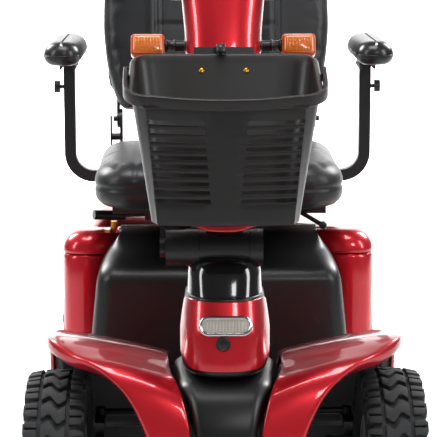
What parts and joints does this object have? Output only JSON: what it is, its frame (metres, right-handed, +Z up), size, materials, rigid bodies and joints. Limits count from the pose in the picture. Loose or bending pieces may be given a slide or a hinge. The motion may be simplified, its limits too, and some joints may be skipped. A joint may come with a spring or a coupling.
{
  "type": "mobility scooter",
  "caption": "Four-wheeled mobility scooter with a steerable, tilting tiller, a lift-off front basket, red body panels and an adjustable swivel seat with flip-up arms.",
  "frame": {"origin": "on the ground, at the middle of the scooter's width and length", "axes": "+X to the rider's left, +Y to the rear, +Z up"},
  "size_m": [0.697, 1.3596, 1.2479],
  "materials": {
    "red_paint": "metallic candy red, glossy clear coat",
    "black_abs": "satin black moulded plastic",
    "gloss_black": "gloss black moulded plastic",
    "frame_black": "black powder coat",
    "tyre_rubber": "tread rubber",
    "rim_silver": "cast, painted silver",
    "small_rubber": "moulded rubber",
    "steel": "zinc plated",
    "gearbox": "cast housing",
    "battery_case": "grey plastic boxes",
    "lamp_chrome": "polished",
    "lamp_glass": "frosted clear lens",
    "tail_red": "red lens",
    "amber_lens": "amber lens",
    "basket_black": "satin grained plastic",
    "vinyl_black": "black vinyl",
    "dial_grey": "light grey dial",
    "button_yellow": "yellow button",
    "button_blue": "blue button",
    "lever_brass": "yellow passivated"
  },
  "bodies": {
    "chassis": {"chassis_frame": "frame_black", "floor_deck": "black_abs", "floor_mat": "small_rubber", "front_nose": "black_abs", "left_front_fender": "red_paint", "right_front_fender": "red_paint", "rear_body": "red_paint", "rear_lid": "red_paint", "battery_cover": "black_abs", "rear_bumper": "black_abs", "tail_lights": "tail_red", "batteries": "battery_case", "transaxle": "gearbox"},
    "steering": {"steering_column": "frame_black", "console_shroud": "gloss_black", "console_cover": "red_paint", "headlight_bezel": "lamp_chrome", "headlight_lens": "lamp_glass"},
    "left_knuckle": {"left_knuckle": "frame_black"},
    "right_knuckle": {"right_knuckle": "frame_black"},
    "tie_rod": {"tie_rod": "steel"},
    "front_left_wheel": {"front_left_tyre": "tyre_rubber", "front_left_rim": "rim_silver"},
    "front_right_wheel": {"front_right_tyre": "tyre_rubber", "front_right_rim": "rim_silver"},
    "rear_left_wheel": {"rear_left_tyre": "tyre_rubber", "rear_left_rim": "rim_silver"},
    "rear_right_wheel": {"rear_right_tyre": "tyre_rubber", "rear_right_rim": "rim_silver"},
    "left_anti_tip_wheel": {"left_anti_tip_wheel": "small_rubber"},
    "right_anti_tip_wheel": {"right_anti_tip_wheel": "small_rubber"},
    "tiller": {"tiller_post": "frame_black", "tiller_cover": "red_paint", "control_head": "gloss_black", "handlebar": "frame_black", "indicator_stalks": "black_abs", "indicator_lenses": "amber_lens"},
    "tilt_lever": {"tilt_lever": "black_abs"},
    "throttle_lever": {"throttle_lever": "black_abs"},
    "speed_dial": {"speed_dial": "dial_grey"},
    "horn_button": {"horn_button": "button_yellow"},
    "light_button": {"light_button": "button_blue"},
    "ignition_key": {"ignition_key": "steel"},
    "basket": {"basket": "basket_black"},
    "basket_handle": {"basket_handle": "basket_black"},
    "seat_post": {"seat_post": "steel"},
    "seat_swivel": {"seat_swivel": "frame_black"},
    "seat": {"seat_pan": "frame_black", "seat_cushion": "vinyl_black"},
    "backrest": {"backrest_frame": "frame_black", "back_cushion": "vinyl_black"},
    "headrest": {"headrest": "vinyl_black"},
    "left_arm_post": {"left_arm_post": "frame_black"},
    "right_arm_post": {"right_arm_post": "frame_black"},
    "left_arm_pad": {"left_arm_pad": "vinyl_black"},
    "right_arm_pad": {"right_arm_pad": "vinyl_black"},
    "swivel_lever": {"swivel_lever": "black_abs"},
    "slide_lever": {"slide_lever": "steel"},
    "recline_lever": {"recline_lever": "black_abs"},
    "freewheel_lever": {"freewheel_lever": "lever_brass"}
  },
  "joints": [
    {"name": "steering", "type": "hinge", "parent": "chassis", "child": "steering", "pos_m": [0, -0.5, 0.3], "axis": [0, 0, 1], "range_deg": [-30, 30]},
    {"name": "left_knuckle_turn", "type": "hinge", "parent": "chassis", "child": "left_knuckle", "pos_m": [0.215, -0.48, 0.165], "axis": [0, 0, 1], "range_deg": [-30, 30]},
    {"name": "right_knuckle_turn", "type": "hinge", "parent": "chassis", "child": "right_knuckle", "pos_m": [-0.215, -0.48, 0.165], "axis": [0, 0, 1], "range_deg": [-30, 30]},
    {"name": "tie_rod_end", "type": "hinge", "parent": "left_knuckle", "child": "tie_rod", "pos_m": [0.215, -0.41, 0.239], "axis": [0, 0, 1], "range_deg": [-30, 30]},
    {"name": "front_left_spin", "type": "hinge", "parent": "left_knuckle", "child": "front_left_wheel", "pos_m": [0.284, -0.48, 0.165], "axis": [1, 0, 0], "continuous": true},
    {"name": "front_right_spin", "type": "hinge", "parent": "right_knuckle", "child": "front_right_wheel", "pos_m": [-0.284, -0.48, 0.165], "axis": [1, 0, 0], "continuous": true},
    {"name": "rear_left_spin", "type": "hinge", "parent": "chassis", "child": "rear_left_wheel", "pos_m": [0.284, 0.445, 0.165], "axis": [1, 0, 0], "continuous": true},
    {"name": "rear_right_spin", "type": "hinge", "parent": "chassis", "child": "rear_right_wheel", "pos_m": [-0.284, 0.445, 0.165], "axis": [1, 0, 0], "continuous": true},
    {"name": "left_anti_tip_spin", "type": "hinge", "parent": "chassis", "child": "left_anti_tip_wheel", "pos_m": [0.109, 0.607, 0.04], "axis": [1, 0, 0], "continuous": true},
    {"name": "right_anti_tip_spin", "type": "hinge", "parent": "chassis", "child": "right_anti_tip_wheel", "pos_m": [-0.109, 0.607, 0.04], "axis": [1, 0, 0], "continuous": true},
    {"name": "tiller_tilt", "type": "hinge", "parent": "steering", "child": "tiller", "pos_m": [0, -0.5, 0.549], "axis": [1, 0, 0], "range_deg": [-20, 10]},
    {"name": "tilt_lever_turn", "type": "hinge", "parent": "steering", "child": "tilt_lever", "pos_m": [-0.103, -0.5, 0.549], "axis": [1, 0, 0], "range_deg": [-25, 0]},
    {"name": "throttle", "type": "hinge", "parent": "tiller", "child": "throttle_lever", "pos_m": [0, -0.33241, 0.96771], "axis": [0, 0.9511, -0.309], "range_deg": [-15, 15], "stiffness_Nm_per_rad": 1},
    {"name": "speed_dial_turn", "type": "hinge", "parent": "tiller", "child": "speed_dial", "pos_m": [0, -0.30065, 1.03309], "axis": [0, 0.9511, -0.309], "range_deg": [-130, 130]},
    {"name": "horn_button_press", "type": "slide", "parent": "tiller", "child": "horn_button", "axis": [0, -0.9511, 0.309], "range_m": [0, 0.003], "stiffness_N_per_m": 400},
    {"name": "light_button_press", "type": "slide", "parent": "tiller", "child": "light_button", "axis": [0, -0.9511, 0.309], "range_m": [0, 0.003], "stiffness_N_per_m": 400},
    {"name": "ignition_key_turn", "type": "hinge", "parent": "tiller", "child": "ignition_key", "pos_m": [0.058, -0.30065, 1.03309], "axis": [0, 0.9511, -0.309], "range_deg": [0, 90]},
    {"name": "basket_lift", "type": "slide", "parent": "tiller", "child": "basket", "axis": [0, 0.309, 0.9511], "range_m": [0, 0.12]},
    {"name": "basket_handle_swing", "type": "hinge", "parent": "basket", "child": "basket_handle", "pos_m": [0, -0.56298, 0.846], "axis": [1, 0, 0], "range_deg": [-95, 0]},
    {"name": "seat_height", "type": "slide", "parent": "chassis", "child": "seat_post", "axis": [0, 0, 1], "range_m": [0, 0.06]},
    {"name": "seat_turn", "type": "hinge", "parent": "seat_post", "child": "seat_swivel", "pos_m": [0, 0.3, 0.46], "axis": [0, 0, 1], "range_deg": [-90, 90]},
    {"name": "seat_slide", "type": "slide", "parent": "seat_swivel", "child": "seat", "axis": [0, 1, 0], "range_m": [-0.06, 0.06]},
    {"name": "backrest_fold", "type": "hinge", "parent": "seat", "child": "backrest", "pos_m": [0, 0.52, 0.642], "axis": [1, 0, 0], "range_deg": [-12, 70]},
    {"name": "headrest_height", "type": "slide", "parent": "backrest", "child": "headrest", "axis": [0, 0.1736, 0.9848], "range_m": [0, 0.05]},
    {"name": "left_arm_width", "type": "slide", "parent": "seat", "child": "left_arm_post", "axis": [1, 0, 0], "range_m": [0, 0.04]},
    {"name": "right_arm_width", "type": "slide", "parent": "seat", "child": "right_arm_post", "axis": [-1, 0, 0], "range_m": [0, 0.04]},
    {"name": "left_arm_flip", "type": "hinge", "parent": "left_arm_post", "child": "left_arm_pad", "pos_m": [0.314, 0.345, 0.782], "axis": [1, 0, 0], "range_deg": [-95, 0]},
    {"name": "right_arm_flip", "type": "hinge", "parent": "right_arm_post", "child": "right_arm_pad", "pos_m": [-0.314, 0.345, 0.782], "axis": [1, 0, 0], "range_deg": [-95, 0]},
    {"name": "swivel_lever_pull", "type": "hinge", "parent": "seat_swivel", "child": "swivel_lever", "pos_m": [-0.105, 0.26, 0.466], "axis": [0, 0, 1], "range_deg": [-7, 0], "stiffness_Nm_per_rad": 2},
    {"name": "slide_lever_lift", "type": "hinge", "parent": "seat", "child": "slide_lever", "pos_m": [0.15, 0.105, 0.512], "axis": [0, 1, 0], "range_deg": [-8, 0], "stiffness_Nm_per_rad": 2},
    {"name": "recline_lever_lift", "type": "hinge", "parent": "seat", "child": "recline_lever", "pos_m": [-0.226, 0.516, 0.602], "axis": [1, 0, 0], "range_deg": [-20, 0], "stiffness_Nm_per_rad": 1.5},
    {"name": "freewheel_lever_tip", "type": "hinge", "parent": "chassis", "child": "freewheel_lever", "pos_m": [-0.22, 0.274, 0.402], "axis": [1, 0, 0], "range_deg": [-18, 0]}
  ],
  "couplings": [
    {"joint": "left_knuckle_turn", "follows": "steering", "ratio": 1},
    {"joint": "right_knuckle_turn", "follows": "steering", "ratio": 1},
    {"joint": "tie_rod_end", "follows": "steering", "ratio": -1}
  ]
}
